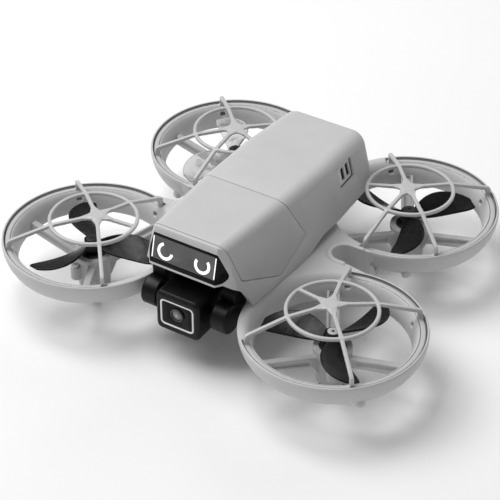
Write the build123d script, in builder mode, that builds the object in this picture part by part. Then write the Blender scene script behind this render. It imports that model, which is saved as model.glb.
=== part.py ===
from build123d import *
import os
from math import atan2, cos, degrees, radians, sin, sqrt

os.makedirs("parts", exist_ok=True)

# A palm drone with four ducted rotors, standing on its motor pods.
# Origin: on the surface it stands on, under the middle of the four ducts.
# -Y is the nose, +X is the side with the nose camera's right-hand pivot. Millimetres.

# ---------------------------------------------------------------- driving dimensions
duct_x = {"front": 47.0, "rear": 35.4}
duct_y = {"front": -35.7, "rear": 35.7}
duct_outer_r = 30.5
duct_foot_r = 28.0
duct_bulge = (29.9, 18.6)
throat_r = 25.3
duct_bottom_z = 13.8
deck_z = 22.8
bell_height = 6.3

rim_outer_r = 29.4
rim_inner_r = 27.5
rim_seat_z = 20.9
rim_top_z = 22.1
guard_ring_r = 15.4
guard_ring_z = 29.0
guard_bar = 1.4

pod_r = 5.5
motor_r = 4.25
pod_top_z = 15.4
foot_height = 1.0
hub_r = 2.8
hub_bottom_z = 16.4
hub_top_z = 20.6
shaft_r = 0.5

shell_wall = 1.3
seam = 0.12
gimbal_y = -46.5
gimbal_z = 19.9

corners = [("front", "left"), ("front", "right"), ("rear", "left"), ("rear", "right")]
side_of = {"left": -1, "right": 1}

# Guard spokes, as angles about the hub on the right-hand side of the drone.
# The last one is the short spoke that stops at the inner ring.
spokes = {"front": [-129, -47, 40, 107, 168], "rear": [-92, -42, 47, 131, 197]}
ring_shift = {"front": (-0.7, 0.4), "rear": (-0.2, 0.1)}
hub_shift = {"front": (-1.7, 0.9), "rear": (-0.5, -0.7)}
blade_turn = {"front_left": -107, "front_right": -49, "rear_left": -109, "rear_right": -67}
mount_arms = [0, 120, -120]
wire_arm = 120


def centre_of(row, side):
    """Centre of one duct in plan."""
    return side_of[side] * duct_x[row], duct_y[row]


def turned(angle, side):
    """An angle given for the right-hand side, seen on the side asked for."""
    return angle if side == "right" else 180 - angle


def upright(x, y, angle):
    """A vertical plane through (x, y): local X runs outwards at the angle, local Y is up."""
    a = radians(angle)
    return Plane(origin=(x, y, 0), x_dir=(cos(a), sin(a), 0), z_dir=(sin(a), -cos(a), 0))


def axis_at(x, y):
    """Vertical axis through a point in plan."""
    return Axis((x, y, 0), (0, 0, 1))


def save(builder, label):
    """Names a finished piece and writes it."""
    builder.part.label = label
    export_step(builder.part, f"parts/{label}.step")


# ---------------------------------------------------------------- ducts
def duct_profile():
    """Half section of a duct wall: outside, lip and bell mouth."""
    bell_r = rim_outer_r - 0.1
    bell_z = deck_z - bell_height
    with BuildLine() as outline:
        Polyline(
            (throat_r, bell_z),
            (throat_r, duct_bottom_z),
            (duct_foot_r - 1.2, duct_bottom_z),
            (duct_foot_r, duct_bottom_z + 1.0),
        )
        ThreePointArc((duct_foot_r, duct_bottom_z + 1.0), duct_bulge, (duct_outer_r, deck_z - 0.8))
        Polyline((duct_outer_r, deck_z - 0.8), (duct_outer_r - 0.2, deck_z), (bell_r, deck_z))
        EllipticalCenterArc((bell_r, bell_z), bell_r - throat_r, bell_height, 90, arc_size=90)
    make_face(outline.edges())


def spoke_reach(row, side, angle, radius):
    """Distance from the guard's hub, along a spoke, to a circle about the duct."""
    dx, dy = hub_shift[row]
    dx = dx * side_of[side]
    a = radians(turned(angle, side))
    along = dx * cos(a) + dy * sin(a)
    across = dx * dx + dy * dy
    return -along + sqrt(along * along - across + radius * radius)


def hub_of(row, side):
    """Centre of the guard's hub in plan."""
    x, y = centre_of(row, side)
    dx, dy = hub_shift[row]
    return x + side_of[side] * dx, y + dy


def spoke_end(row, angle):
    """Angle about the duct's centre, on the right-hand side, where a spoke meets the rim."""
    reach = spoke_reach(row, "right", angle, rim_outer_r)
    dx, dy = hub_shift[row]
    return degrees(atan2(dy + reach * sin(radians(angle)), dx + reach * cos(radians(angle))))


def rim_arc(row, side, margin):
    """Start angle and sweep of the part of the duct that the guard's rim covers."""
    first = spoke_end(row, spokes[row][0]) - margin
    last = spoke_end(row, spokes[row][3]) + margin
    start = first if side == "right" else 180 - last
    return start, last - first


clip_width = 2.6
clip_depth = 3.2


def clip_section(row, side, angle, grow):
    """Side view of the block under a spoke's end that snaps into the duct wall, grown all round."""
    hx, hy = hub_of(row, side)
    reach = spoke_reach(row, side, angle, rim_inner_r)
    with BuildSketch(upright(hx, hy, turned(angle, side))) as section:
        with Locations((reach + 0.6, rim_seat_z - clip_depth / 2)):
            Rectangle(1.1 + 2 * grow, clip_depth + 2 * grow)
    return section.sketch


# Small moulded lumps under the duct walls, as angles about each duct's centre.
wall_lumps = {"front_right": [-42], "front_left": [-52], "rear_right": [-63, -82], "rear_left": [-105]}
lump_reach, lump_z, lump_r = 27.7, 14.4, 1.7
snap_window = (1.8, 1.5)

for row, side in corners:
    x, y = centre_of(row, side)
    start, sweep_angle = rim_arc(row, side, 3.0)
    with BuildPart() as duct:
        with BuildSketch(upright(x, y, 0)):
            duct_profile()
        revolve(axis=axis_at(x, y))
        with BuildSketch(upright(x, y, start)):
            with Locations(((rim_inner_r + rim_outer_r) / 2 + 0.1, rim_seat_z + 2)):
                Rectangle(rim_outer_r - rim_inner_r + 0.3, 4)
        revolve(axis=axis_at(x, y), revolution_arc=sweep_angle, mode=Mode.SUBTRACT)
        for angle in spokes[row][:4]:
            pocket = clip_section(row, side, angle, 0.1)
            extrude(pocket, amount=clip_width / 2 + 0.1, both=True, mode=Mode.SUBTRACT)
            snap = upright(*hub_of(row, side), turned(angle, side))
            with BuildSketch(snap):
                with Locations((spoke_reach(row, side, angle, rim_inner_r) - 1.0, rim_seat_z - 1.6)):
                    Rectangle(3.0, snap_window[1])
            extrude(amount=snap_window[0] / 2, both=True, mode=Mode.SUBTRACT)
        for angle in wall_lumps[f"{row}_{side}"]:
            with Locations((x + lump_reach * cos(radians(angle)), y + lump_reach * sin(radians(angle)), lump_z)):
                Sphere(lump_r)
    save(duct, f"duct_{row}_{side}")

# ---------------------------------------------------------------- rotor guards
for row, side in corners:
    x, y = centre_of(row, side)
    hx, hy = hub_of(row, side)
    rx = x + side_of[side] * ring_shift[row][0]
    ry = y + ring_shift[row][1]
    start, sweep_angle = rim_arc(row, side, 2.6)
    with BuildPart() as guard:
        with BuildSketch(upright(x, y, start)):
            with Locations(((rim_inner_r + rim_outer_r) / 2, (rim_seat_z + rim_top_z) / 2)):
                RectangleRounded(rim_outer_r - rim_inner_r - 0.1, rim_top_z - rim_seat_z, 0.3)
        revolve(axis=axis_at(x, y), revolution_arc=sweep_angle)
        with BuildSketch(upright(rx, ry, 0)):
            with Locations((guard_ring_r - guard_bar / 2, guard_ring_z)):
                RectangleRounded(guard_bar, 1.5, 0.5)
        revolve(axis=axis_at(rx, ry))
        with BuildSketch(Plane.XY.offset(guard_ring_z + 0.6)):
            with Locations((hx, hy)):
                Circle(2.9)
        extrude(amount=1.3, taper=12)
        for angle in spokes[row]:
            is_short = angle == spokes[row][4]
            a = turned(angle, side)
            ring_reach = guard_ring_r - 0.7 + (rx - hx) * cos(radians(a)) + (ry - hy) * sin(radians(a))
            rim_reach = spoke_reach(row, side, angle, rim_outer_r - 0.2)
            with BuildSketch(upright(hx, hy, a)):
                with BuildLine():
                    if is_short:
                        Polyline((1, 30.9), (ring_reach, 29.6), (ring_reach, 28.5), (1, 29.6), close=True)
                    else:
                        Polyline(
                            (1, 30.9),
                            (ring_reach, 29.7),
                            (rim_reach - 1.4, 25.9),
                            (rim_reach - 0.4, 25.4),
                            (rim_reach, 24.6),
                            (rim_reach, rim_top_z - 0.3),
                            (rim_reach - 1.6, rim_top_z - 0.3),
                            (rim_reach - 2.0, 24.5),
                            (ring_reach, 28.4),
                            (1, 29.6),
                            close=True,
                        )
                make_face()
            extrude(amount=guard_bar / 2, both=True)
            with BuildSketch(Plane.XY.offset(guard_ring_z + 0.7)):
                with BuildLine():
                    Polyline(
                        (hx + 2.9 * cos(radians(a + 38)), hy + 2.9 * sin(radians(a + 38))),
                        (hx + 5.6 * cos(radians(a + 6)), hy + 5.6 * sin(radians(a + 6))),
                        (hx + 5.6 * cos(radians(a - 6)), hy + 5.6 * sin(radians(a - 6))),
                        (hx + 2.9 * cos(radians(a - 38)), hy + 2.9 * sin(radians(a - 38))),
                        close=True,
                    )
                make_face()
            extrude(amount=0.9)
            if not is_short:
                extrude(clip_section(row, side, angle, 0), amount=clip_width / 2, both=True)
    save(guard, f"guard_{row}_{side}")

# ---------------------------------------------------------------- motor mounts, motors and rotors
arm_width = 2.4
wire_arm_width = 4.4
wire_channel_width = 2.4
arm_height = 3.7
screw_head_r = 1.45
screw_reach = pod_r + 1.1

for row, side in corners:
    x, y = centre_of(row, side)
    with BuildPart() as mount:
        with BuildSketch(upright(x, y, 0)):
            with BuildLine():
                Polyline(
                    (0, foot_height),
                    (pod_r - 1.2, foot_height),
                    (pod_r - 0.2, foot_height + 1.4),
                    (pod_r, foot_height + 3),
                    (pod_r, pod_top_z - 3.0),
                    (pod_r + 0.9, pod_top_z - 2.0),
                    (pod_r + 0.9, pod_top_z),
                    (0, pod_top_z),
                    close=True,
                )
            make_face()
        revolve(axis=axis_at(x, y))
        for arm in mount_arms:
            angle = turned(arm, side)
            with BuildSketch(upright(x, y, angle)):
                with BuildLine():
                    Polyline(
                        (motor_r + 0.3, 13.2),
                        (pod_r, 13.2),
                        (throat_r - 0.05, 18.2),
                        (throat_r - 0.05, 18.2 - arm_height),
                        (pod_r + 2.2, 10.0),
                        (pod_r, 5.5),
                        (motor_r + 0.3, 5.5),
                        close=True,
                    )
                make_face()
            width = wire_arm_width if arm == wire_arm else arm_width
            extrude(amount=width / 2, both=True)
            groove = upright(x, y, angle)
            if arm == wire_arm:
                with BuildSketch(groove):
                    with BuildLine():
                        Polyline((7.5, 14.4), (25, 18.6), (25, 16.6), (7.5, 12.4), close=True)
                    make_face()
                extrude(amount=wire_channel_width / 2, both=True, mode=Mode.SUBTRACT)
            for face_side in (-1, 1):
                with BuildSketch(groove.offset(face_side * width / 2)):
                    with BuildLine():
                        Polyline((9, 12.9), (24, 16.9), (24, 15.5), (9, 11.3), close=True)
                    make_face()
                extrude(amount=-face_side * 0.7, mode=Mode.SUBTRACT)
        screw_x = x + screw_reach * cos(radians(turned(-60, side)))
        screw_y = y + screw_reach * sin(radians(turned(-60, side)))
        with BuildSketch(Plane.XY.offset(6.5)):
            with Locations((screw_x, screw_y)):
                Circle(1.9)
        extrude(amount=5.0)
        with Locations((x, y, pod_top_z)):
            Hole(motor_r + 0.05, depth=pod_top_z - foot_height - 1.0)
        with Locations((screw_x, screw_y, 11.5)):
            Hole(0.8, depth=3.5)
            Cylinder(screw_head_r, 1.4, align=(Align.CENTER, Align.CENTER, Align.MIN), mode=Mode.SUBTRACT)
    save(mount, f"motor_mount_{row}_{side}")

    with BuildPart() as can:
        with BuildSketch(upright(x, y, 0)):
            with BuildLine():
                Polyline(
                    (shaft_r + 0.06, 2.2),
                    (motor_r - 0.3, 2.2),
                    (motor_r, 2.5),
                    (motor_r, 15.6),
                    (motor_r - 0.3, 15.9),
                    (1.6, 15.9),
                    (1.6, 16.2),
                    (shaft_r + 0.06, 16.2),
                    close=True,
                )
            make_face()
        revolve(axis=axis_at(x, y))
    save(can, f"motor_{row}_{side}")

    with BuildPart() as shaft:
        with BuildSketch(Plane.XY.offset(3.0)):
            with Locations((x, y)):
                Circle(shaft_r)
        extrude(amount=hub_top_z - 3.0)
    save(shaft, f"motor_shaft_{row}_{side}")

# Blade sections from root to tip: distance out, chord, pitch in degrees, sweep back.
blade_sections = [
    (2.2, 3.6, 38, 0.2),
    (6.0, 7.0, 32, -1.0),
    (10.5, 9.4, 25, -1.8),
    (15.5, 10.0, 19, -1.6),
    (20.0, 8.6, 14, -0.2),
    (23.3, 4.4, 11, 1.8),
]
blade_z = 18.9


def blade_section(plane, chord, pitch, sweep_back, spin):
    """One thin rounded section of a blade, pitched for the way the rotor turns."""
    with BuildSketch(plane) as section:
        with Locations(Location((-spin * sweep_back, 0), spin * pitch)):
            SlotOverall(chord, 0.8)
    return section.sketch


for row, side in corners:
    x, y = centre_of(row, side)
    corner = f"{row}_{side}"
    spin = 1 if corner in ("front_left", "rear_right") else -1
    with BuildPart() as rotor:
        for k in range(3):
            a = radians(blade_turn[corner] + 120 * k)
            out = Vector(cos(a), sin(a), 0)
            across = Vector(-sin(a), cos(a), 0)
            sections = []
            for reach, chord, pitch, sweep_back in blade_sections:
                station = Plane(origin=Vector(x, y, blade_z) + out * reach, x_dir=across, z_dir=out)
                sections.append(blade_section(station, chord, pitch, sweep_back, spin))
            loft(sections)
        with BuildSketch(Plane.XY.offset(hub_bottom_z)):
            with Locations((x, y)):
                Circle(hub_r)
        extrude(amount=hub_top_z - hub_bottom_z)
        with Locations((x, y, hub_top_z)):
            Hole(shaft_r, depth=hub_top_z - hub_bottom_z)
    save(rotor, f"propeller_{corner}")

    with BuildPart() as cap:
        with BuildSketch(Plane.XY.offset(hub_top_z)):
            with Locations((x, y)):
                Circle(hub_r - 0.6)
        extrude(amount=0.6)
        fillet(cap.edges().sort_by(Axis.Z)[-1], 0.3)
    save(cap, f"rotor_cap_{corner}")

with BuildPart() as feet:
    for row, side in corners:
        x, y = centre_of(row, side)
        with BuildSketch(Plane.XY):
            with Locations((x, y)):
                Circle(pod_r - 1.3)
        extrude(amount=foot_height)
save(feet, "feet")

# ---------------------------------------------------------------- central hull
hull_gap = 0.05
notch_x = 30.6
notch_r = 4.3
notch_y = -0.3
notch_lip = 1.6
notch_lip_height = 0.6
hull_front_y = -34.0
hull_rear_y = 41.0
pedestal_top_z = 25.2
belly_bottom_z = 5.0
pocket_size = (17, 26)
hull_screws = [(-6, -15.4), (6, -15.4), (-5, 17), (5, 17)]


def duct_discs(radius, rows=("front", "rear")):
    """The ducts' outlines as discs, made private to whatever sketch is open."""
    return [Pos(*centre_of(row, side)) * Circle(radius, mode=Mode.PRIVATE) for row, side in corners if row in rows]


def duct_edge(row, x):
    """The point of a right-hand duct's outer circle that faces the notch, at that x."""
    reach = sqrt(duct_outer_r**2 - (x - duct_x[row]) ** 2)
    toward = 1 if row == "front" else -1
    return (x, duct_y[row] + toward * reach)


def deck_outline():
    """Plan of the deck between the ducts, with a rounded notch in each side."""
    with BuildLine() as outline:
        Polyline(
            (0, hull_rear_y),
            (36, hull_rear_y),
            (46, 20),
            (41, 9),
            duct_edge("rear", 38),
            (33, notch_y + notch_r),
            (notch_x, notch_y + notch_r),
        )
        ThreePointArc((notch_x, notch_y + notch_r), (notch_x - notch_r, notch_y), (notch_x, notch_y - notch_r))
        Polyline(
            (notch_x, notch_y - notch_r),
            (34, notch_y - notch_r),
            duct_edge("front", 41.5),
            (45, -20),
            (45, hull_front_y),
            (0, hull_front_y),
        )
        mirror(about=Plane.YZ)
    return make_face(outline.edges(), mode=Mode.PRIVATE)


with BuildPart() as hull:
    with BuildSketch(Plane.XY.offset(duct_bottom_z)):
        add(deck_outline())
        add(duct_discs(duct_outer_r + hull_gap), mode=Mode.SUBTRACT)
    extrude(amount=deck_z - duct_bottom_z)
    with BuildSketch(Plane.XY.offset(duct_bottom_z)):
        with Locations((0, 3)):
            RectangleRounded(28, 48, 6)
    extrude(amount=belly_bottom_z - duct_bottom_z, taper=14)
    with BuildSketch(Plane.XY.offset(belly_bottom_z)):
        add(duct_discs(duct_outer_r + hull_gap))
    extrude(amount=deck_z - belly_bottom_z, mode=Mode.SUBTRACT)
    with BuildSketch(Plane.XY.offset(deck_z)):
        with Locations((0, 18)):
            RectangleRounded(38, 36, 5)
        add(duct_discs(27.6, ("rear",)), mode=Mode.SUBTRACT)
    extrude(amount=pedestal_top_z - deck_z)
    with BuildSketch(Plane.XY.offset(belly_bottom_z)):
        RectangleRounded(*pocket_size, 2)
    extrude(amount=pedestal_top_z - belly_bottom_z, mode=Mode.SUBTRACT)
    for s in (-1, 1):
        lip_r = notch_r + notch_lip / 2
        with BuildSketch(Plane.XY.offset(deck_z)):
            with BuildLine() as lip:
                Line((s * 35, notch_y + lip_r), (s * notch_x, notch_y + lip_r))
                ThreePointArc((s * notch_x, notch_y + lip_r), (s * (notch_x - lip_r), notch_y), (s * notch_x, notch_y - lip_r))
                Line((s * notch_x, notch_y - lip_r), (s * 33.5, notch_y - lip_r))
            trace(lip.line, line_width=notch_lip)
        extrude(amount=notch_lip_height)
    with Locations([(x, y, belly_bottom_z) for x, y in hull_screws]):
        Cylinder(0.85, 6, align=(Align.CENTER, Align.CENTER, Align.MIN), mode=Mode.SUBTRACT)
save(hull, "lower_hull")

cover_top_z = 4.95
cover_bottom_z = 3.9
sensor_y = 6.0
sensor_size = (9.0, 4.6)

with BuildPart() as bottom_cover:
    with BuildSketch(Plane.XY.offset(cover_bottom_z)):
        with Locations((0, 1.0)):
            RectangleRounded(20, 37, 4)
        with Locations((0, sensor_y)):
            RectangleRounded(sensor_size[0] + 0.3, sensor_size[1] + 0.3, 1, mode=Mode.SUBTRACT)
        with GridLocations(0, 2.4, 1, 4):
            with Locations((0, -6)):
                SlotOverall(11, 1.1, mode=Mode.SUBTRACT)
        with Locations(hull_screws):
            Circle(0.9, mode=Mode.SUBTRACT)
    extrude(amount=cover_top_z - cover_bottom_z)
    chamfer(bottom_cover.faces().sort_by(Axis.Z)[0].outer_wire().edges(), 0.4)
save(bottom_cover, "bottom_cover")

with BuildPart() as screws:
    for x, y in hull_screws:
        with Locations((x, y, cover_bottom_z - 0.6)):
            Cylinder(1.5, 0.6, align=(Align.CENTER, Align.CENTER, Align.MIN))
            Cylinder(0.75, 6, align=(Align.CENTER, Align.CENTER, Align.MIN))
        with BuildSketch(Plane.XY.offset(cover_bottom_z - 0.6)):
            with Locations((x, y)):
                Rectangle(1.7, 0.35)
                Rectangle(0.35, 1.7)
        extrude(amount=0.35, mode=Mode.SUBTRACT)
save(screws, "hull_screws")

with BuildPart() as mount_screws:
    for row, side in corners:
        cx, cy = centre_of(row, side)
        angle = radians(turned(-60, side))
        x = cx + screw_reach * cos(angle)
        y = cy + screw_reach * sin(angle)
        with Locations((x, y, 8.4)):
            Cylinder(0.72, 3.15, align=(Align.CENTER, Align.CENTER, Align.MIN))
        with Locations((x, y, 11.55)):
            Cylinder(1.4, 0.7, align=(Align.CENTER, Align.CENTER, Align.MIN))
        with BuildSketch(Plane.XY.offset(12.25)):
            with Locations((x, y)):
                Rectangle(1.5, 0.35)
                Rectangle(0.35, 1.5)
        extrude(amount=-0.4, mode=Mode.SUBTRACT)
save(mount_screws, "mount_screws")

with BuildPart() as flow_sensor:
    with BuildSketch(Plane.XY.offset(cover_bottom_z - 0.3)):
        with Locations((0, sensor_y)):
            RectangleRounded(*sensor_size, 0.9)
    extrude(amount=3.6)
    for x, radius in ((-2.3, 1.5), (2.3, 1.1)):
        with Locations((x, sensor_y, cover_bottom_z - 0.3)):
            Cylinder(radius, 0.5, align=(Align.CENTER, Align.CENTER, Align.MIN), mode=Mode.SUBTRACT)
save(flow_sensor, "flow_sensor")

board_z = 8.2
with BuildPart() as main_board:
    with BuildSketch(Plane.XY.offset(board_z)):
        RectangleRounded(pocket_size[0] - 0.6, pocket_size[1] - 0.6, 1.6)
    extrude(amount=1.0)
save(main_board, "main_board")

with BuildPart() as chips:
    for x, y, width, length, height in [(0, -6, 9, 9, 1.2), (-4, 5, 6, 7, 0.9), (4, 4, 5, 5, 0.9), (4.5, 9.5, 4, 3, 0.8)]:
        with Locations((x, y, board_z + 1.05)):
            Box(width, length, height, align=(Align.CENTER, Align.CENTER, Align.MIN))
save(chips, "board_chips")

# ---------------------------------------------------------------- upper body
# Cross-sections from nose to tail: y, half width at the top corner, height of the top, shoulder radius.
body_stations = [
    (-55.0, 12.8, 47.5, 3.4),
    (-46.8, 13.4, 47.3, 3.6),
    (-15.0, 15.5, 46.6, 4.2),
    (12.0, 16.2, 45.6, 5.0),
    (40.5, 14.9, 44.0, 6.0),
]
wall_lean = 0.25
body_floor_z = 20.0
rear_round = 4.5
window_back = 46.3
nose_face = Plane(origin=(0, -49.83, 40.0), x_dir=(1, 0, 0), z_dir=(0, -1, 0.2327))
cheek_right = Plane(origin=(12.1, -49.9, 40.0), x_dir=(0.606, 0.795, 0), z_dir=(0.783, -0.597, 0.173))
cheek_left = Plane(origin=(-12.1, -49.9, 40.0), x_dir=(0.606, -0.795, 0), z_dir=(-0.783, -0.597, 0.173))

# Outlines in the side view, as (y, z).
shell_side = [
    (-60, 60), (-60, 34.2), (-49, 34.2), (-46.5, 32.0), (-44.9, 31.0), (-42.4, 28.6),
    (-40.5, 24.7), (-40, 23), (-8, 23), (2, 25.4), (50, 25.4), (50, 60),
]
bay_roof_side = [
    (-60, 34.2), (-49, 34.2), (-46.5, 32.0), (-45.5, 31.5), (-34.6, 31.5), (-34.6, 23),
    (-33.3, 23), (-33.3, 32.8), (-45.0, 32.8), (-48.4, 35.3), (-60, 35.3),
]
floor_side = [(9, 25.4), (50, 25.4), (50, 26.6), (9, 26.6)]
cover_side = [(-46.8, 60), (-46.8, 47.9), (-45.0, 43.2), (-42.4, 33.2), (-24.5, 25.2), (-7.2, 30.7), (-14.6, 46.0), (-14.6, 60)]
cover_gap_side = [
    (-47.07, 60), (-47.07, 47.9), (-45.27, 43.2), (-42.67, 33.0), (-24.5, 24.9), (-6.86, 30.54),
    (-14.33, 46.07), (-14.33, 60),
]
cover_rounding = [(-42.4, 33.2, 2.0), (-24.5, 25.2, 2.6), (-7.2, 30.7, 0.8)]


def body_section(y, corner_x, top_z, shoulder_r, inset):
    """One cross-section of the upper body: flat top, rounded shoulders, sides leaning outwards."""
    top = top_z - inset
    half_top = corner_x - inset
    half_floor = half_top + wall_lean * (top - body_floor_z)
    with BuildSketch(Plane.XZ.offset(-y)) as section:
        with BuildLine() as outline:
            Polyline((-half_floor, body_floor_z), (half_floor, body_floor_z), (half_top, top), (-half_top, top), close=True)
        make_face(outline.edges())
        fillet(section.vertices().group_by(Axis.Y)[-1], shoulder_r - inset * 0.6)
    return section.sketch


def body_solid(inset):
    """The upper body as one solid, shrunk all round by the inset."""
    sections = []
    for y, corner_x, top_z, shoulder_r in body_stations:
        station = y if y < body_stations[-1][0] else y - inset
        sections.append(body_section(station, corner_x, top_z, shoulder_r, inset))
    with BuildPart() as body:
        loft(sections, ruled=True)
        for cut in (nose_face, cheek_left, cheek_right):
            split(bisect_by=cut.offset(-inset), keep=Keep.BOTTOM)
        rear_face = body.faces().sort_by(Axis.Y)[-1]
        rear_rim = [edge for edge in rear_face.edges() if edge.center().Z > body_floor_z + 1]
        fillet(rear_rim, rear_round - inset)
    return body.part


def side_block(points, rounding=()):
    """A block through the whole body from side to side, drawn in the side view."""
    with BuildSketch(Plane.YZ) as section:
        with BuildLine() as outline:
            Polyline(*points, close=True)
        make_face(outline.edges())
        for y, z, radius in rounding:
            fillet(section.vertices().sort_by_distance(Vector(y, z))[0], radius)
    with BuildPart() as block:
        extrude(section.sketch, amount=30, both=True)
    return block.part


def window_block(grow):
    """The display window's outline from the front, wrapping round both cheeks."""
    top, bottom = 45.1, 34.95
    with BuildSketch(Plane.XZ.offset(window_back)) as section:
        with BuildLine() as outline:
            Polyline((-12.0, top), (12.0, top), (16.0, bottom), (-16.0, bottom), close=True)
        make_face(outline.edges())
        fillet(section.vertices().group_by(Axis.Y)[0], 2.0)
        fillet(section.vertices().group_by(Axis.Y)[-1], 0.5)
        if grow:
            offset(amount=grow)
    with BuildPart() as block:
        extrude(section.sketch, amount=12)
    return block.part


def wall_at(y, z, side):
    """A plane on the upper body's side wall, facing out; its X runs to the tail."""
    for before, after in zip(body_stations, body_stations[1:]):
        if before[0] <= y <= after[0]:
            length = after[0] - before[0]
            t = (y - before[0]) / length
            corner_x = before[1] + t * (after[1] - before[1])
            top = before[2] + t * (after[2] - before[2])
            drift = (after[1] - before[1] + wall_lean * (after[2] - before[2])) / length
    s = side_of[side]
    return Plane(
        origin=(s * (corner_x + wall_lean * (top - z)), y, z),
        x_dir=(s * drift, 1, 0),
        z_dir=(s, -drift, wall_lean),
    )


latch_y = 22.0
latch_z = 37.6
latch_size = (9.2, 6.6)
latch_gap = 0.35
button_at = (-2.0, 38.5)
button_r = 3.0
usb_at = (6.0, 31.0)
usb_size = (8.9, 3.2)
light_at = [(y, 38.5) for y in (-23.0, -20.0, -17.0, -14.0)]
battery_half_width = 11.2
battery_z = (28.2, 40.2)
battery_y = (11.5, 39.9)

outer_body = body_solid(0)
inner_body = body_solid(shell_wall)

with BuildPart() as wall:
    add(outer_body)
    add(inner_body, mode=Mode.SUBTRACT)
    add(side_block(shell_side), mode=Mode.INTERSECT)
body_wall = wall.part

with BuildPart() as inner_floor:
    add(side_block(bay_roof_side))
    add(side_block(floor_side))
    add(outer_body, mode=Mode.INTERSECT)

with BuildPart() as shell:
    add(body_wall)
    add(inner_floor.part)
    add(side_block(cover_gap_side, cover_rounding), mode=Mode.SUBTRACT)
    add(window_block(0.06), mode=Mode.SUBTRACT)
    for side in side_of:
        with BuildSketch(wall_at(latch_y, latch_z, side)):
            RectangleRounded(latch_size[0] + 2 * latch_gap, latch_size[1] + 2 * latch_gap, 1.0)
        extrude(amount=4, both=True, mode=Mode.SUBTRACT)
    with BuildSketch(wall_at(*button_at, "left")):
        Circle(button_r + 0.15)
    extrude(amount=4, both=True, mode=Mode.SUBTRACT)
    with BuildSketch(wall_at(*usb_at, "left")):
        SlotOverall(usb_size[0] + 0.1, usb_size[1] + 0.1)
    extrude(amount=4, both=True, mode=Mode.SUBTRACT)
    with BuildSketch(Plane.XZ.offset(-34)):
        with Locations((0, (battery_z[0] + battery_z[1]) / 2)):
            Rectangle(2 * battery_half_width + 0.5, battery_z[1] - battery_z[0] + 0.5)
    extrude(amount=-12, mode=Mode.SUBTRACT)
save(shell, "main_shell")

with BuildPart() as cover:
    add(body_wall)
    add(side_block(cover_side, cover_rounding), mode=Mode.INTERSECT)
    for y, z in light_at:
        with BuildSketch(wall_at(y, z, "left")):
            Circle(0.65)
        extrude(amount=4, both=True, mode=Mode.SUBTRACT)
save(cover, "front_cover")

# ---------------------------------------------------------------- display in the nose
panel_half_width = 12.0
panel_low = -3.6
panel_high = 4.3
panel_depth = 0.35

with BuildPart() as window:
    add(body_wall)
    add(window_block(0), mode=Mode.INTERSECT)
    with BuildSketch(nose_face):
        with Locations((0, (panel_low + panel_high) / 2)):
            Rectangle(2 * panel_half_width + 0.04, panel_high - panel_low + 0.04)
    extrude(amount=-panel_depth - 0.05, mode=Mode.SUBTRACT)
save(window, "display_window")

eye_x = 7.0
eye_y = -0.1
eye_outer_r = 3.0
eye_stroke = 1.0
eye_sink = 0.15
# Where each eye's arc starts and how far it runs, in degrees.
eye_arcs = [(-eye_x, 110, 244), (eye_x, 148, 256)]


def eye_sketch(grow):
    """The two open rings shown on the display."""
    with BuildSketch(nose_face) as eyes:
        for x, start, sweep in eye_arcs:
            middle_r = eye_outer_r - eye_stroke / 2
            with BuildLine() as arc:
                CenterArc((x, eye_y), middle_r, start, sweep)
            trace(arc.line, line_width=eye_stroke + 2 * grow)
    return eyes.sketch


def side_bars(grow):
    """The light line at each end of the display."""
    with BuildSketch(nose_face) as bars:
        for s in (-1, 1):
            with Locations((s * (panel_half_width - 0.25), (panel_low + panel_high) / 2)):
                Rectangle(0.36 + 2 * grow, panel_high - panel_low - 0.5 + 2 * grow)
    return bars.sketch


with BuildPart() as panel:
    with BuildSketch(nose_face.offset(-panel_depth)):
        with Locations((0, (panel_low + panel_high) / 2)):
            Rectangle(2 * panel_half_width, panel_high - panel_low)
    extrude(amount=panel_depth - 0.03)
    extrude(eye_sketch(0.02), amount=-eye_sink, mode=Mode.SUBTRACT)
    extrude(side_bars(0.02), amount=-eye_sink, mode=Mode.SUBTRACT)
save(panel, "display_panel")

with BuildPart() as eyes:
    extrude(eye_sketch(0), amount=-eye_sink)
save(eyes, "eye_lights")

with BuildPart() as bars:
    extrude(side_bars(0), amount=-eye_sink)
save(bars, "side_lights")

# ---------------------------------------------------------------- latches, button, socket, lights
latch_sink = 0.8
latch_thick = 1.5

for side in side_of:
    face = wall_at(latch_y, latch_z, side)
    with BuildPart() as latch:
        with BuildSketch(face.offset(-latch_sink)):
            RectangleRounded(*latch_size, 0.8)
        extrude(amount=-latch_thick)
        with BuildSketch(face.offset(-latch_sink)):
            with Locations((0.9, 0)):
                with GridLocations(3.3, 0, 2, 1):
                    RectangleRounded(2.2, 4.6, 0.5)
        extrude(amount=-1.1, mode=Mode.SUBTRACT)
    save(latch, f"latch_{side}")

with BuildPart() as power_button:
    face = wall_at(*button_at, "left")
    with BuildSketch(face.offset(0.1)):
        Circle(button_r)
    extrude(amount=-1.9)
    with BuildSketch(face.offset(0.1)):
        Circle(button_r - 0.9)
        Circle(button_r - 1.2, mode=Mode.SUBTRACT)
    extrude(amount=-0.2, mode=Mode.SUBTRACT)
save(power_button, "power_button")

with BuildPart() as usb_socket:
    face = wall_at(*usb_at, "left")
    with BuildSketch(face.offset(-0.2)):
        SlotOverall(*usb_size)
        SlotOverall(usb_size[0] - 0.7, usb_size[1] - 0.7, mode=Mode.SUBTRACT)
    extrude(amount=-5.4)
    with BuildSketch(face.offset(-5.2)):
        SlotOverall(*usb_size)
    extrude(amount=-0.4)
    with BuildSketch(face.offset(-1.0)):
        Rectangle(5.4, 0.7)
    extrude(amount=-4.3)
save(usb_socket, "usb_socket")

with BuildPart() as charge_lights:
    for y, z in light_at:
        with BuildSketch(wall_at(y, z, "left").offset(-0.05)):
            Circle(0.6)
        extrude(amount=-1.5)
save(charge_lights, "charge_lights")

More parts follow.
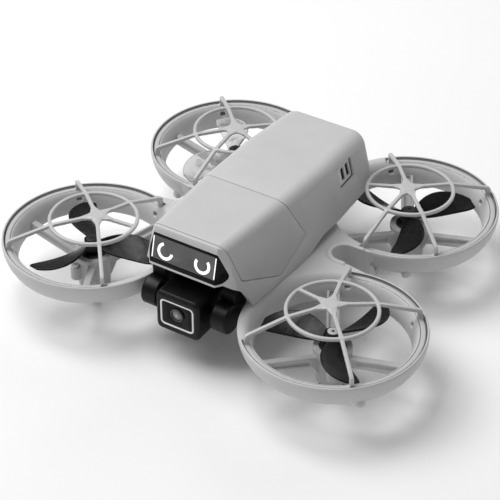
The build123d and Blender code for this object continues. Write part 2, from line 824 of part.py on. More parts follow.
with BuildPart() as antenna:
    with Locations((-7, -24, 44.2), (7, -24, 44.2)):
        Box(3, 22, 0.4)
save(antenna, "antenna")

# ---------------------------------------------------------------- battery
case_wall = 0.9
battery_length = battery_y[1] - battery_y[0]
battery_height = battery_z[1] - battery_z[0]
battery_mid_z = (battery_z[0] + battery_z[1]) / 2

with BuildPart() as case:
    with BuildSketch(Plane.XZ.offset(-battery_y[1])):
        with Locations((0, battery_mid_z)):
            RectangleRounded(2 * battery_half_width, battery_height, 1.4)
    extrude(amount=battery_length)
    with BuildSketch(Plane.XZ.offset(-battery_y[0])):
        with Locations((0, battery_mid_z)):
            RectangleRounded(2 * (battery_half_width - case_wall), battery_height - 2 * case_wall, 0.8)
    extrude(amount=-(battery_length - case_wall - 0.6), mode=Mode.SUBTRACT)
    with BuildSketch(Plane.XZ.offset(-battery_y[1])):
        with Locations((0, battery_mid_z - 3.2)):
            SlotOverall(13, 2.0)
    extrude(amount=0.7, mode=Mode.SUBTRACT)
save(case, "battery_case")

with BuildPart() as cells:
    with Locations((0, battery_y[0] + 14.6, battery_mid_z)):
        Box(2 * (battery_half_width - case_wall) - 0.4, 24.0, battery_height - 2 * case_wall - 0.4)
    fillet(cells.edges().filter_by(Axis.Y), 1.0)
save(cells, "battery_cells")

with BuildPart() as battery_board:
    with Locations((0, battery_y[0] + 1.3, battery_mid_z)):
        Box(2 * (battery_half_width - case_wall) - 1.0, 1.0, battery_height - 2 * case_wall - 1.0)
    with Locations([(x, battery_y[0] + 0.55, battery_mid_z) for x in (-6, -3, 0, 3, 6)]):
        Box(1.6, 0.5, 5)
save(battery_board, "battery_board")

# ---------------------------------------------------------------- nose camera
block_half_width = 8.3
block_y = (-54.6, -38.5)
block_z = (12.1, 27.2)
block_mid_z = (block_z[0] + block_z[1]) / 2
block_height = block_z[1] - block_z[0]
bezel_size = (12.8, 10.05)
bezel_stroke = 0.6
bezel_z = 19.7
lens_z = 20.1
lens_r = 2.4
pin_r = 1.2
pivot_x = (10.3, 16.3)
pivot_r = 5.2

with BuildPart() as camera:
    with BuildSketch(Plane.XZ.offset(-block_y[1])):
        with Locations((0, block_mid_z)):
            RectangleRounded(2 * block_half_width, block_height, 2.2)
    extrude(amount=block_y[1] - block_y[0])
    chamfer(camera.faces().sort_by(Axis.Y)[0].edges(), 0.9)
    chamfer(camera.faces().sort_by(Axis.Y)[-1].edges(), 1.0)
    with BuildSketch(Plane.XZ.offset(-block_y[0])):
        with Locations((0, bezel_z)):
            RectangleRounded(bezel_size[0] + 0.06, bezel_size[1] + 0.06, 1.6)
    extrude(amount=-0.9, mode=Mode.SUBTRACT)
    with BuildSketch(Plane.XZ.offset(-block_y[0])):
        with Locations((0, lens_z)):
            Circle(lens_r + 0.05)
    extrude(amount=-9, mode=Mode.SUBTRACT)
    for s in (-1, 1):
        with BuildSketch(Plane.YZ.offset(s * block_half_width)):
            with Locations((gimbal_y, gimbal_z)):
                Circle(pin_r + 0.05)
        extrude(amount=-s * 1.8, mode=Mode.SUBTRACT)
save(camera, "camera_housing")

with BuildPart() as bezel:
    with BuildSketch(Plane.XZ.offset(-block_y[0] - 0.05)):
        with Locations((0, bezel_z)):
            RectangleRounded(*bezel_size, 1.55)
            RectangleRounded(bezel_size[0] - 2 * bezel_stroke, bezel_size[1] - 2 * bezel_stroke, 1.1, mode=Mode.SUBTRACT)
    extrude(amount=-0.8)
save(bezel, "camera_bezel")

with BuildPart() as camera_glass:
    with BuildSketch(Plane.XZ.offset(-block_y[0] - 0.3)):
        with Locations((0, bezel_z)):
            RectangleRounded(bezel_size[0] - 2 * bezel_stroke - 0.04, bezel_size[1] - 2 * bezel_stroke - 0.04, 1.05)
        with Locations((0, lens_z)):
            Circle(lens_r + 0.05, mode=Mode.SUBTRACT)
    extrude(amount=-0.5)
save(camera_glass, "camera_glass")

with BuildPart() as barrel:
    with BuildSketch(Plane.XZ.offset(-block_y[0] + 0.3)):
        with Locations((0, lens_z)):
            Circle(lens_r)
    extrude(amount=-8.5)
    with BuildSketch(Plane.XZ.offset(-block_y[0] + 0.3)):
        with Locations((0, lens_z)):
            Circle(1.75)
    extrude(amount=-1.4, mode=Mode.SUBTRACT)
save(barrel, "lens_barrel")

with BuildPart() as lens:
    with BuildSketch(Plane.XZ.offset(-block_y[0] - 1.05)):
        with Locations((0, lens_z)):
            Circle(1.7)
    extrude(amount=0.9)
    fillet(lens.faces().sort_by(Axis.Y)[0].edges(), 0.7)
save(lens, "lens_front")

for side, s in side_of.items():
    with BuildPart() as pivot:
        with BuildSketch(Plane.YZ.offset(s * pivot_x[0])):
            with Locations((gimbal_y, gimbal_z)):
                Circle(pivot_r)
        extrude(amount=s * (pivot_x[1] - pivot_x[0]))
        chamfer(pivot.edges().filter_by(GeomType.CIRCLE), 0.5)
        with BuildSketch(Plane.YZ.offset(s * (pivot_x[0] - 3.6))):
            with Locations((gimbal_y, gimbal_z)):
                Circle(pin_r)
        extrude(amount=s * 3.8)
    save(pivot, f"pivot_housing_{side}")

yoke_x = (10.7, 15.9)
tab_at = (12.9, -43.4, 27.2)
tab_size = (3.8, 2.4, 1.8)
with BuildPart() as yoke:
    for s in (-1, 1):
        with BuildSketch(Plane.YZ.offset(s * yoke_x[0])):
            with Locations((gimbal_y, gimbal_z)):
                Circle(pivot_r)
            with Locations((-40.6, 30.7)):
                Rectangle(9.6, 1.6)
            make_hull()
            with Locations((gimbal_y, gimbal_z)):
                Circle(pivot_r + 0.05, mode=Mode.SUBTRACT)
        extrude(amount=s * (yoke_x[1] - yoke_x[0]))
    with Locations((0, -36.9, 30.6)):
        Box(2 * yoke_x[1], 2.2, 1.7)
    for s in (-1, 1):
        with Locations((s * tab_at[0], tab_at[1], tab_at[2])):
            Box(tab_size[0] + 0.1, tab_size[1] + 0.1, tab_size[2] + 0.1, mode=Mode.SUBTRACT)
save(yoke, "gimbal_yoke")

with BuildPart() as tabs:
    for s in (-1, 1):
        with Locations((s * tab_at[0], tab_at[1], tab_at[2])):
            Box(*tab_size)
save(tabs, "damper_tabs")
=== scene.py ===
import math

import bmesh
import bpy
from mathutils import Matrix, Vector


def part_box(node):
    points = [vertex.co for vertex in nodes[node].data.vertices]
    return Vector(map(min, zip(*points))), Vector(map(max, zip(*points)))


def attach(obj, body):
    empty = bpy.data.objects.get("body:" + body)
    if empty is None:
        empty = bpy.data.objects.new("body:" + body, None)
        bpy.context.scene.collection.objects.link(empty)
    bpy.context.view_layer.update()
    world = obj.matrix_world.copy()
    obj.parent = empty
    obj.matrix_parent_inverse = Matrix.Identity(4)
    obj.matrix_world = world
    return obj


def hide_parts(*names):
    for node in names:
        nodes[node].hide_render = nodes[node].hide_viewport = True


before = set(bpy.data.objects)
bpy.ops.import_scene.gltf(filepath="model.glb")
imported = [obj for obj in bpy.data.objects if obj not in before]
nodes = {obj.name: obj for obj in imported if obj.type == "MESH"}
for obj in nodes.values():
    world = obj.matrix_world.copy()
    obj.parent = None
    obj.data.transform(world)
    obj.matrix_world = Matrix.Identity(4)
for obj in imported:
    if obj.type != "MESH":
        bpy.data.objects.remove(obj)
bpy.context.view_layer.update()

MM = 0.001
CORNERS = ("front_left", "front_right", "rear_left", "rear_right")


def middle(low, high):
    """The point halfway between two corners."""
    return (Vector(low) + Vector(high)) / 2


# ---------------------------------------------------------------- materials
class Shade:
    """A principled material with short helpers for its procedural detail."""

    def __init__(self, name, colour, roughness, metallic=0.0):
        self.material = bpy.data.materials.new(name)
        self.material.use_nodes = True
        self.tree = self.material.node_tree
        self.shader = self.tree.nodes["Principled BSDF"]
        self.colour = colour
        self.shader.inputs["Base Color"].default_value = (*colour, 1)
        self.shader.inputs["Roughness"].default_value = roughness
        self.shader.inputs["Metallic"].default_value = metallic
        self.place = self.tree.nodes.new("ShaderNodeTexCoord").outputs["Object"]
        self.bump_chain = None

    def node(self, kind, **values):
        made = self.tree.nodes.new(kind)
        for key, value in values.items():
            setattr(made, key, value)
        return made

    def link(self, a, b):
        self.tree.links.new(a, b)

    def noise(self, size, detail=3.0, stretch=None):
        """Noise whose lumps are about size metres across."""
        source = self.place
        if stretch:
            mapping = self.node("ShaderNodeMapping")
            mapping.inputs["Scale"].default_value = stretch
            self.link(source, mapping.inputs["Vector"])
            source = mapping.outputs["Vector"]
        noise = self.node("ShaderNodeTexNoise")
        noise.inputs["Scale"].default_value = 1.0 / size
        noise.inputs["Detail"].default_value = detail
        self.link(source, noise.inputs["Vector"])
        return noise.outputs["Fac"]

    def spread(self, value, low, high, start=0.3, end=0.7):
        """Maps a 0 to 1 value on to low to high."""
        span = self.node("ShaderNodeMapRange")
        span.inputs["From Min"].default_value = start
        span.inputs["From Max"].default_value = end
        span.inputs["To Min"].default_value = low
        span.inputs["To Max"].default_value = high
        self.link(value, span.inputs["Value"])
        return span.outputs["Result"]

    def bump(self, height, distance, strength=1.0):
        """Adds a height to the surface's fine relief."""
        bump = self.node("ShaderNodeBump")
        bump.inputs["Distance"].default_value = distance
        bump.inputs["Strength"].default_value = strength
        self.link(height, bump.inputs["Height"])
        if self.bump_chain:
            self.link(self.bump_chain, bump.inputs["Normal"])
        self.bump_chain = bump.outputs["Normal"]
        self.link(self.bump_chain, self.shader.inputs["Normal"])

    def tint(self, amount_of, colour, low, high, start, end):
        """Mixes the base colour towards another where a value is high."""
        mix = self.node("ShaderNodeMix", data_type="RGBA")
        source = self.shader.inputs["Base Color"]
        if source.links:
            self.link(source.links[0].from_socket, mix.inputs["A"])
        else:
            mix.inputs["A"].default_value = (*self.colour, 1)
        mix.inputs["B"].default_value = (*colour, 1)
        self.link(self.spread(amount_of, low, high, start, end), mix.inputs["Factor"])
        self.link(mix.outputs["Result"], source)

    def rough(self, value, low, high, start=0.3, end=0.7):
        self.link(self.spread(value, low, high, start, end), self.shader.inputs["Roughness"])


def scaled(colour, factor):
    return tuple(min(1.0, c * factor) for c in colour)


def moulded(
    name, colour, roughness, grain=0.35 * MM, depth=0.012 * MM, wear_and_highlight=0.25, shine=0.5, rubbed_and_highlight_colour=None
):
    """Moulded plastic: spark-eroded grain, faint cloudiness, and edges painted paler: rubbed
    wear, and on the dark gimbal plastic a painted highlight.
    """
    shade = Shade(name, colour, roughness)
    cloud = shade.noise(9 * MM, 2.0)
    shade.tint(cloud, scaled(colour, 0.97), 0.0, 1.0, 0.4, 0.7)
    # Convex edges painted paler: rubbed wear on the pale plastics, a painted highlight on the
    # dark gimbal plastic.
    edge = shade.node("ShaderNodeNewGeometry").outputs["Pointiness"]
    shade.tint(edge, rubbed_and_highlight_colour or scaled(colour, 1.12), 0.0, wear_and_highlight, 0.52, 0.6)
    shade.rough(shade.noise(3 * MM, 3.0), roughness - 0.05, roughness + 0.07)
    shade.bump(shade.noise(grain, 2.0), depth)
    shade.shader.inputs["Specular IOR Level"].default_value = shine
    return shade.material


def glossy(name, colour, roughness=0.12, coat=0.6, shine=0.4):
    """Polished plastic or glass: fine wipe marks in its roughness and faint waviness."""
    shade = Shade(name, colour, roughness)
    shade.shader.inputs["Coat Weight"].default_value = coat
    shade.shader.inputs["Coat Roughness"].default_value = 0.05
    shade.shader.inputs["Specular IOR Level"].default_value = shine
    smear = shade.noise(2.5 * MM, 4.0, (1.0, 1.0, 0.25))
    shade.rough(smear, roughness, roughness + 0.14)
    shade.tint(shade.noise(5 * MM), scaled(colour, 1.6), 0.0, 0.5, 0.45, 0.75)
    shade.bump(shade.noise(20 * MM, 1.0), 0.02 * MM, 0.4)
    return shade.material


def clear(name):
    """Clear plastic: polished, faintly wavy, with fine wipe marks; pale, darkened in blotches,
    as a painted reflection.
    """
    shade = Shade(name, (0.86, 0.86, 0.87), 0.06)
    shade.shader.inputs["Transmission Weight"].default_value = 0.75
    shade.shader.inputs["IOR"].default_value = 1.49
    shade.tint(shade.noise(6 * MM), (0.35, 0.35, 0.36), 0.0, 0.7, 0.5, 0.62)
    shade.rough(shade.noise(2 * MM, 4.0, (1.0, 1.0, 0.3)), 0.04, 0.16)
    shade.bump(shade.noise(5 * MM, 1.0), 0.25 * MM, 0.6)
    return shade.material


def metal(name, colour, roughness, stretch=(1.0, 1.0, 12.0)):
    """Turned or drawn metal: fine lines round it and a little tarnish."""
    shade = Shade(name, colour, roughness, 1.0)
    lines = shade.noise(0.5 * MM, 4.0, stretch)
    shade.rough(lines, roughness - 0.08, roughness + 0.12)
    shade.tint(shade.noise(4 * MM), scaled(colour, 0.7), 0.0, 0.6, 0.45, 0.75)
    shade.bump(lines, 0.01 * MM)
    return shade.material


def lamp(name, colour, strength):
    """A lit surface that glows a little unevenly."""
    shade = Shade(name, colour, 0.4)
    glow = shade.spread(shade.noise(1.5 * MM, 2.0), strength * 0.9, strength)
    shade.shader.inputs["Emission Color"].default_value = (*colour, 1)
    shade.link(glow, shade.shader.inputs["Emission Strength"])
    shade.bump(shade.noise(0.6 * MM), 0.01 * MM)
    return shade.material


def board(name):
    """A circuit board: solder mask over faint copper tracks."""
    shade = Shade(name, (0.012, 0.07, 0.035), 0.35)
    brick = shade.node("ShaderNodeTexBrick")
    brick.inputs["Scale"].default_value = 420.0
    brick.inputs["Mortar Size"].default_value = 0.03
    shade.link(shade.place, brick.inputs["Vector"])
    shade.tint(brick.outputs["Fac"], (0.03, 0.16, 0.07), 0.0, 1.0, 0.2, 0.8)
    shade.rough(shade.noise(2 * MM), 0.3, 0.45)
    shade.bump(brick.outputs["Fac"], 0.02 * MM)
    return shade.material


def coated_lens(name):
    """Coated glass with painted reflections: pale and dark rings of the elements behind it,
    round a pale blue-grey middle.
    """
    shade = Shade(name, (0.02, 0.025, 0.035), 0.06)
    low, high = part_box("lens_front")
    centre = middle(low, high)
    mapping = shade.node("ShaderNodeMapping")
    mapping.inputs["Location"].default_value = (-centre.x, -low[1], -centre.z)
    shade.link(shade.place, mapping.inputs["Vector"])
    flatten = shade.node("ShaderNodeVectorMath", operation="MULTIPLY")
    flatten.inputs[1].default_value = (1, 0, 1)
    shade.link(mapping.outputs["Vector"], flatten.inputs[0])
    reach = shade.node("ShaderNodeVectorMath", operation="LENGTH")
    shade.link(flatten.outputs["Vector"], reach.inputs[0])
    ramp = shade.node("ShaderNodeValToRGB")
    outermost_ring = 2.0 * MM
    share = shade.spread(reach.outputs["Value"], 0.0, 1.0, 0.0, outermost_ring)
    shade.link(share, ramp.inputs["Fac"])
    # Painted reflections and shade: pale and dark rings and a pale blue-grey middle, painted
    # into the colour.
    painted_ring_reflections = [
        (0.0, 0.6), (0.14, 0.45), (0.26, 0.06), (0.4, 0.28),
        (0.54, 0.04), (0.68, 0.2), (0.8, 0.03), (0.95, 0.16),
    ]
    band = ramp.color_ramp
    for number, (position, light) in enumerate(painted_ring_reflections):
        stop = band.elements[number] if number < 2 else band.elements.new(position)
        stop.position = position
        stop.color = (light * 0.9, light * 0.97, light * 1.1, 1)
    shade.link(ramp.outputs["Color"], shade.shader.inputs["Base Color"])
    shade.shader.inputs["Coat Weight"].default_value = 0.8
    shade.rough(shade.noise(1.5 * MM), 0.05, 0.12)
    shade.bump(shade.noise(3 * MM), 0.01 * MM)
    return shade.material


shell_plastic = moulded("shell_plastic", (0.55, 0.55, 0.555), 0.5)
guard_plastic = moulded("guard_plastic", (0.52, 0.52, 0.525), 0.38, depth=0.006 * MM)
mount_plastic = moulded("mount_plastic", (0.45, 0.45, 0.455), 0.5)
button_plastic = moulded("button_plastic", (0.7, 0.7, 0.7), 0.42, depth=0.006 * MM)
blade_plastic = glossy("blade_plastic", (0.003, 0.003, 0.0035), 0.22, 0.0, 0.25)
clear_plastic = clear("clear_plastic")
# Its edges are painted paler as a highlight along the chamfers.
gimbal_plastic = moulded(
    "gimbal_plastic", (0.0015, 0.0015, 0.0018), 0.4,
    depth=0.005 * MM, wear_and_highlight=0.8, shine=0.25, rubbed_and_highlight_colour=(0.03, 0.03, 0.03),
)
cap_plastic = moulded("cap_plastic", (0.015, 0.015, 0.016), 0.35, depth=0.004 * MM)
# A dark bead material that paints the shade in the groove round each guard's rim.
painted_groove_shade = moulded(
    "painted_groove_shade", (0.07, 0.07, 0.07), 0.8, grain=0.2 * MM, depth=0.01 * MM, shine=0.2
)
# A dark plastic that paints the shade round the latches and in their grip slots.
painted_shade_plastic = moulded("painted_shade_plastic", (0.02, 0.02, 0.02), 0.9, shine=0.1)
case_plastic = moulded("case_plastic", (0.5, 0.5, 0.505), 0.55)
soft_rubber = moulded(
    "soft_rubber", (0.05, 0.05, 0.05), 0.8, grain=0.2 * MM, depth=0.02 * MM, wear_and_highlight=0.1
)
tab_rubber = moulded(
    "tab_rubber", (0.08, 0.08, 0.08), 0.65, grain=0.2 * MM, depth=0.012 * MM, wear_and_highlight=0.1
)
black_glass = glossy("black_glass", (0.0015, 0.0015, 0.002), 0.1, 0.0, 0.14)
screen_glass = glossy("screen_glass", (0.095, 0.095, 0.097), 0.3, 0.1)
lens_glass = coated_lens("lens_glass")
steel = metal("steel", (0.55, 0.55, 0.56), 0.32)
motor_coat = metal("motor_coat", (0.05, 0.05, 0.055), 0.4)
barrel_metal = moulded(
    "barrel_metal", (0.055, 0.056, 0.06), 0.35, grain=0.15 * MM, depth=0.004 * MM
)
foil = metal("foil", (0.6, 0.6, 0.62), 0.35, (1.0, 1.0, 1.0))
white_light = lamp("white_light", (0.95, 0.95, 0.95), 0.7)
white_paint = moulded("white_paint", (0.9, 0.9, 0.9), 0.4, depth=0.003 * MM, wear_and_highlight=0.05)
board_mask = board("board_mask")
chip_plastic = moulded("chip_plastic", (0.02, 0.02, 0.02), 0.45)

looks = {
    "main_shell": shell_plastic,
    "front_cover": shell_plastic,
    "lower_hull": shell_plastic,
    "bottom_cover": mount_plastic,
    "battery_case": case_plastic,
    "display_window": black_glass,
    "display_panel": screen_glass,
    "eye_lights": white_light,
    "side_lights": white_light,
    "charge_lights": white_light,
    "latch_left": button_plastic,
    "latch_right": button_plastic,
    "power_button": button_plastic,
    "usb_socket": steel,
    "antenna": steel,
    "hull_screws": steel,
    "mount_screws": steel,
    "main_board": board_mask,
    "battery_board": board_mask,
    "board_chips": chip_plastic,
    "battery_cells": foil,
    "flow_sensor": black_glass,
    "gimbal_yoke": gimbal_plastic,
    "pivot_housing_left": gimbal_plastic,
    "pivot_housing_right": gimbal_plastic,
    "damper_tabs": tab_rubber,
    "camera_housing": gimbal_plastic,
    "camera_bezel": white_paint,
    "camera_glass": black_glass,
    "lens_barrel": barrel_metal,
    "lens_front": lens_glass,
    "feet": soft_rubber,
}
for corner in CORNERS:
    looks["duct_" + corner] = shell_plastic
    looks["guard_" + corner] = guard_plastic
    looks["motor_mount_" + corner] = mount_plastic
    looks["motor_" + corner] = motor_coat
    looks["motor_shaft_" + corner] = steel
    looks["propeller_" + corner] = blade_plastic
    looks["rotor_cap_" + corner] = cap_plastic
looks["rotor_cap_front_right"] = button_plastic


for name, look in looks.items():
    thing = nodes[name]
    thing.data.materials.clear()
    thing.data.materials.append(look)


# ---------------------------------------------------------------- rebuilt pieces
def placed(name, data):
    """Puts new data into the scene as an object."""
    thing = bpy.data.objects.new(name, data)
    bpy.context.scene.collection.objects.link(thing)
    return thing


def made(name, work):
    """Turns a bmesh into an object and frees it."""
    mesh = bpy.data.meshes.new(name)
    work.to_mesh(mesh)
    work.free()
    return placed(name, mesh)


def rounded_edges(thing, width, angle):
    """Bevels the edges that turn more sharply than an angle in degrees."""
    bevel = thing.modifiers.new("bevel", "BEVEL")
    bevel.width = width
    bevel.segments = 2
    bevel.limit_method = "ANGLE"
    bevel.angle_limit = math.radians(angle)
    bevel.harden_normals = True


def soften(thing, width):
    """Joins a CAD node's split corners, rounds its sharp edges and shades the rest smooth."""
    for polygon in thing.data.polygons:
        polygon.use_smooth = True
    weld = thing.modifiers.new("weld", "WELD")
    weld.merge_threshold = 0.001 * MM
    rounded_edges(thing, width, 28)


def wear_look(thing, look, body):
    """Gives a new piece its material and its body."""
    thing.data.materials.clear()
    thing.data.materials.append(look)
    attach(thing, body)


def joined(name, sources):
    """A new piece that holds a copy of the surfaces of the CAD nodes named."""
    gathered = bmesh.new()
    for source in sources:
        copy = nodes[source].data.copy()
        copy.transform(nodes[source].matrix_world)
        gathered.from_mesh(copy)
        bpy.data.meshes.remove(copy)
    return made(name, gathered)


def blended(thing, grid, passes, slimming=0.0):
    """Remeshes a piece on a fine grid, relaxes it so its corners run together, and thins it."""
    remesh = thing.modifiers.new("blend", "REMESH")
    remesh.mode = "VOXEL"
    remesh.voxel_size = grid
    remesh.use_smooth_shade = True
    smooth = thing.modifiers.new("relax", "SMOOTH")
    smooth.factor = 0.5
    smooth.iterations = passes
    if slimming:
        thin = thing.modifiers.new("thin", "DISPLACE")
        thin.direction = "NORMAL"
        thin.mid_level = 0.0
        thin.strength = -slimming


def moulding(name, sources, grid, passes, look, body, slimming=0.0):
    """CAD nodes made again as one moulding, with every corner and junction blended."""
    thing = joined(name, sources)
    blended(thing, grid, passes, slimming)
    wear_look(thing, look, body)
    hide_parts(*sources)


def turned(name, profile, centre, axis, look, body):
    """A piece turned on a lathe: (radius, height along the axis) points spun about the axis."""
    work = bmesh.new()
    ring = [work.verts.new((radius, 0, along)) for radius, along in profile]
    edges = [work.edges.new(pair) for pair in zip(ring, ring[1:])]
    bmesh.ops.spin(
        work,
        geom=ring + edges,
        angle=math.tau,
        steps=96,
        axis=(0, 0, 1),
        cent=(0, 0, 0),
        use_merge=True,
    )
    bmesh.ops.remove_doubles(work, verts=work.verts, dist=0.0005 * MM)
    bmesh.ops.recalc_face_normals(work, faces=work.faces)
    for face in work.faces:
        face.smooth = True
    turn = Vector(axis).to_track_quat("Z", "Y").to_matrix().to_4x4()
    work.transform(Matrix.Translation(centre) @ turn)
    thing = made(name, work)
    rounded_edges(thing, 0.05 * MM, 25)
    wear_look(thing, look, body)
    return thing


def airframe_mouldings():
    """Hull with its four ducts, and the guards and motor mounts that clip to them."""
    body = "airframe"
    hull = ["lower_hull"] + ["duct_" + corner for corner in CORNERS]
    moulding("hull_moulding", hull, 0.27 * MM, 3, shell_plastic, body)
    wire_slimming = 0.05 * MM
    for corner in CORNERS:
        guard, mount = "guard_" + corner, "motor_mount_" + corner
        name = guard + "_moulding"
        moulding(name, [guard], 0.2 * MM, 9, guard_plastic, body, wire_slimming)
        name = mount + "_moulding"
        moulding(name, [mount], 0.28 * MM, 3, mount_plastic, body)


def rotors():
    """Blades with rounded edges, clear and pale at the rear left as a painted reflection, and a
    domed cap over each shaft.
    """
    for corner in CORNERS:
        body = "rotor_" + corner
        blades = "propeller_" + corner
        look, slot = blade_plastic, "dark_plastic"
        # The rear-left blades get pale clear plastic, a painted reflection of the bright light
        # on them.
        if corner == "rear_left":
            look, slot = clear_plastic, "lens_glass"
        moulding(blades + "_moulding", [blades], 0.15 * MM, 3, look, body)
        low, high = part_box("rotor_cap_" + corner)
        radius, height = (high[0] - low[0]) / 2, high[2] - low[2]
        centre = middle(low, high)
        centre.z = low[2]
        profile = [
            (0, 0),
            (radius, 0),
            (radius, height * 0.5),
            (radius * 0.9, height * 0.85),
            (radius * 0.6, height * 0.97),
            (radius * 0.3, height * 0.97),
            (radius * 0.24, height * 0.5),
            (0, height * 0.5),
        ]
        cap = turned("cap_" + corner, profile, centre, (0, 0, 1), cap_plastic, body)
        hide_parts("rotor_cap_" + corner)
        if corner == "front_right":
            plate = [
                (radius * 0.24, height * 0.6),
                (radius * 0.24, height * 0.99),
                (radius * 0.3, height * 1.0),
                (radius * 0.78, height * 0.99),
                (radius * 0.84, height * 0.9),
                (radius * 0.84, height * 0.6),
            ]
            turned("cap_plate_" + corner, plate, centre, (0, 0, 1), button_plastic, body)


def slab(work, outline, x_low, x_high):
    """Adds a plate drawn in the side view, as (y, z) in millimetres, between two x values."""
    near = [work.verts.new((x_low * MM, y * MM, z * MM)) for y, z in outline]
    far = [work.verts.new((x_high * MM, y * MM, z * MM)) for y, z in outline]
    work.faces.new(near)
    work.faces.new(far[::-1])
    for k in range(len(outline)):
        after = (k + 1) % len(outline)
        work.faces.new((near[k], far[k], far[after], near[after]))


def gimbal_arm():
    """The yoke: an arm set back over each pivot housing, joined by a bar under the nose."""
    arm = [
        (-44.9, 24.4), (-44.9, 28.0), (-43.9, 29.0), (-36.2, 31.3), (-35.9, 31.2),
        (-35.9, 24.0), (-38.6, 19.5), (-41.4, 18.6), (-42.0, 22.6),
    ]
    arm_inside, arm_outside = 10.8, 15.8
    bar = [(-37.9, 29.9), (-37.9, 31.35), (-35.9, 31.35), (-35.9, 29.9)]
    bar_half = 15.0
    work = bmesh.new()
    for s in (-1, 1):
        slab(work, arm, *sorted((s * arm_inside, s * arm_outside)))
    slab(work, bar, -bar_half, bar_half)
    bmesh.ops.recalc_face_normals(work, faces=work.faces)
    thing = made("gimbal_arm", work)
    blended(thing, 0.18 * MM, 3)
    wear_look(thing, gimbal_plastic, "airframe")
    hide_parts("gimbal_yoke")


def nose_camera():
    """The gimbal arm, the camera's case and a lens made of stepped rings."""
    gimbal_arm()
    for side in ("left", "right"):
        pivot = "pivot_housing_" + side
        name = pivot + "_moulding"
        moulding(name, [pivot], 0.18 * MM, 3, gimbal_plastic, "airframe")
    housing = ["camera_housing"]
    moulding("camera_case", housing, 0.2 * MM, 4, gimbal_plastic, "camera")
    low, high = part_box("lens_barrel")
    radius = (high[0] - low[0]) / 2
    centre = middle(low, high)
    centre.y = low[1]
    rings = [
        (radius * 0.8, 1.2 * MM),
        (radius * 0.8, 0.5 * MM),
        (radius * 0.86, 0.1 * MM),
        (radius * 0.92, 0.0),
        (radius, 0.15 * MM),
        (radius, high[1] - low[1]),
        (0, high[1] - low[1]),
    ]
    barrel = turned("lens_rings", rings, centre, (0, 1, 0), barrel_metal, "camera")
    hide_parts("lens_barrel")
    dome = [
        (0, 0.1 * MM),
        (radius * 0.3, 0.14 * MM),
        (radius * 0.55, 0.26 * MM),
        (radius * 0.8, 0.5 * MM),
        (radius * 0.8, 1.0 * MM),
        (0, 1.0 * MM),
    ]
    glass = turned("lens_dome", dome, centre, (0, 1, 0), lens_glass, "camera")
    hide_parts("lens_front")


def rounded_loop(width, height, radius):
    """Points round a rounded rectangle in its own plane."""
    turn_steps = 8
    loop = []
    for k, (side_x, side_y) in enumerate(((1, 1), (-1, 1), (-1, -1), (1, -1))):
        for step in range(turn_steps + 1):
            angle = math.radians(90 * k + 90 * step / turn_steps)
            across = side_x * (width / 2 - radius) + radius * math.cos(angle)
            up = side_y * (height / 2 - radius) + radius * math.sin(angle)
            loop.append((across, up))
    return loop


def bead(name, points, thickness, roundness, closed, look, body):
    """A round bead, closed or with capped ends, that runs through the points."""
    path = bpy.data.curves.new(name, "CURVE")
    path.dimensions = "3D"
    path.bevel_depth = thickness / 2
    path.bevel_resolution = roundness
    path.use_fill_caps = not closed
    line = path.splines.new("POLY")
    line.points.add(len(points) - 1)
    line.use_cyclic_u = closed
    for vertex, point in zip(line.points, points):
        vertex.co = (*point, 1)
    wear_look(placed(name, path), look, body)


def rim_span(corner, centre, inner):
    """First and last angle, about the duct's centre, of a guard's rim."""
    guard = nodes["guard_" + corner]
    angles = []
    for vertex in guard.data.vertices:
        offset = guard.matrix_world @ vertex.co - centre
        if Vector((offset.x, offset.y)).length > inner:
            angles.append(math.atan2(offset.y, offset.x))
    angles.sort()
    angles.append(angles[0] + math.tau)
    gaps = [(after - before, after, before) for before, after in zip(angles, angles[1:])]
    after, before = max(gaps)[1:]
    return after - math.tau, before


def rim_groove_shades():
    """A dark bead, painted shade, in the groove between each guard's rim and the lip of its
    duct.
    """
    rim_outer = 29.4 * MM
    rim_depth = 0.4 * MM
    reach = rim_outer + 0.2 * MM
    height = 22.5 * MM
    steps = 160
    for corner in CORNERS:
        low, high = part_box("duct_" + corner)
        centre = middle(low, high)
        first, last = rim_span(corner, centre, rim_outer - rim_depth)
        points = []
        for k in range(steps + 1):
            angle = first + (last - first) * k / steps
            x, y = centre.x + reach * math.cos(angle), centre.y + reach * math.sin(angle)
            points.append((x, y, height))
        bead("rim_groove_shade_" + corner, points, 0.34 * MM, 2, False, painted_groove_shade, "airframe")


class WallFrame:
    """Places things on a latch's face: u towards the tail, v up the wall, depth outwards.

    The wall leans in by lean for each unit up, and drifts in by drift for each unit back.
    """

    lean = 0.25
    drift = -0.06
    latch_thick = 1.5 * MM

    def __init__(self, side):
        s = -1 if side == "left" else 1
        low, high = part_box("latch_" + side)
        self.out = Vector((s, -self.drift, self.lean)).normalized()
        self.along = Vector((s * self.drift, 1, 0)).normalized()
        self.up = self.out.cross(self.along) * s
        self.surface = middle(low, high) + self.out * (self.latch_thick / 2)

    def at(self, u, v, depth):
        return self.surface + self.along * u + self.up * v + self.out * depth


def well(name, wall, centre_u, width, height, body):
    """A shallow dark pad, painted shade, that lies at the bottom of a latch's grip slot."""
    pad_top, pad_bottom = -0.45 * MM, -1.0 * MM
    work = bmesh.new()
    loop = rounded_loop(width, height, 0.5 * MM)
    top = [work.verts.new(wall.at(centre_u + u, v, pad_top)) for u, v in loop]
    low = [work.verts.new(wall.at(centre_u + u, v, pad_bottom)) for u, v in loop]
    work.faces.new(top)
    work.faces.new(low[::-1])
    for k in range(len(loop)):
        after = (k + 1) % len(loop)
        work.faces.new((top[k], low[k], low[after], top[after]))
    bmesh.ops.recalc_face_normals(work, faces=work.faces)
    pad = made(name, work)
    bevel = pad.modifiers.new("bevel", "BEVEL")
    bevel.width = 0.1 * MM
    bevel.segments = 2
    wear_look(pad, painted_shade_plastic, body)


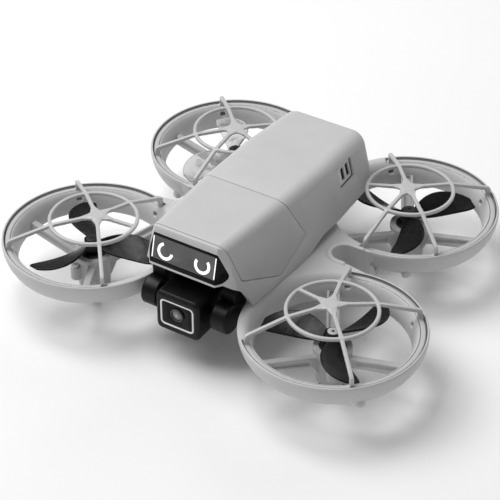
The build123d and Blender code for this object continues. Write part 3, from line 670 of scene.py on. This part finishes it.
def latch_details():
    """A dark bead round each latch and a dark pad in each of its two grip slots, both painted
    shade.
    """
    slot_places = (-0.75 * MM, 2.55 * MM)
    slot_size = (2.1 * MM, 4.5 * MM)
    face_width, face_height = 9.2 * MM, 6.6 * MM
    gap = 0.35 * MM
    corner_radius = 0.9 * MM
    sunk = 0.08 * MM
    for side in ("left", "right"):
        body = side + "_latch"
        wall = WallFrame(side)
        loop = rounded_loop(face_width + gap, face_height + gap, corner_radius)
        points = [wall.at(u, v, -sunk) for u, v in loop]
        bead("latch_shade_line_" + side, points, 0.4 * MM, 3, True, painted_shade_plastic, body)
        for number, place in enumerate(slot_places):
            well(f"latch_well_{side}_{number}", wall, place, *slot_size, body)


airframe_mouldings()
rim_groove_shades()
rotors()
nose_camera()
latch_details()
SOFT_EDGES = {  # bevel widths in millimetres
    "main_shell": 0.22,
    "front_cover": 0.22,
    "battery_case": 0.3,
    "bottom_cover": 0.25,
    "display_window": 0.2,
    "display_panel": 0.08,
    "latch_left": 0.15,
    "latch_right": 0.15,
    "power_button": 0.2,
    "damper_tabs": 0.3,
    "camera_bezel": 0.1,
    "camera_glass": 0.1,
}
for name, width in SOFT_EDGES.items():
    soften(nodes[name], width * MM)


# ---------------------------------------------------------------- stage
def floor():
    """A plain, flat, pale floor."""
    half = 6.0
    corners = [(-half, -half, 0), (half, -half, 0), (half, half, 0), (-half, half, 0)]
    mesh = bpy.data.meshes.new("floor")
    mesh.from_pydata(corners, [], [(0, 1, 2, 3)])
    plane = placed("floor", mesh)
    shade = Shade("floor", (0.93, 0.93, 0.93), 0.85)
    shade.tint(shade.noise(0.3), (0.91, 0.91, 0.91), 0.0, 1.0, 0.4, 0.6)
    mesh.materials.append(shade.material)


def softbox(name, place, target, size, watts):
    """A rectangular area light aimed at a point."""
    data = bpy.data.lights.new(name, "AREA")
    data.shape = "RECTANGLE"
    data.size, data.size_y = size
    data.energy = watts
    light = placed(name, data)
    light.location = place
    light.rotation_mode = "QUATERNION"
    light.rotation_quaternion = (Vector(place) - Vector(target)).to_track_quat("Z", "Y")


def studio():
    """White surroundings, a large key light from the upper left and a weak one from behind."""
    world = bpy.data.worlds.new("studio")
    world.use_nodes = True
    background = world.node_tree.nodes["Background"]
    background.inputs["Color"].default_value = (1, 1, 1, 1)
    background.inputs["Strength"].default_value = 0.3
    bpy.context.scene.world = world
    bpy.context.scene.view_settings.view_transform = "Standard"
    target = (0, 0, 0.03)
    softbox("key", (-0.5, -0.1, 0.9), target, (0.8, 0.8), 10.2)
    softbox("back", (0.1, 0.8, 0.6), target, (0.6, 0.3), 1)


def camera():
    """The picture's viewpoint."""
    azimuth, elevation, roll = (math.radians(angle) for angle in (32.64, 36.56, -0.25))
    level = math.cos(elevation)
    back = Vector((math.sin(azimuth) * level, -math.cos(azimuth) * level, math.sin(elevation)))
    data = bpy.data.cameras.new("camera")
    data.sensor_width = 36.0
    data.lens = 142.3
    data.shift_x = 0.0126
    data.clip_start = 0.01
    data.clip_end = 50.0
    seen = placed("camera", data)
    seen.location = (0.28575, -0.46072, 0.41408)
    seen.rotation_mode = "QUATERNION"
    tilt = Matrix.Rotation(roll, 3, "Z").to_quaternion()
    seen.rotation_quaternion = (-back).to_track_quat("-Z", "Y") @ tilt
    bpy.context.scene.camera = seen


floor()
studio()
camera()
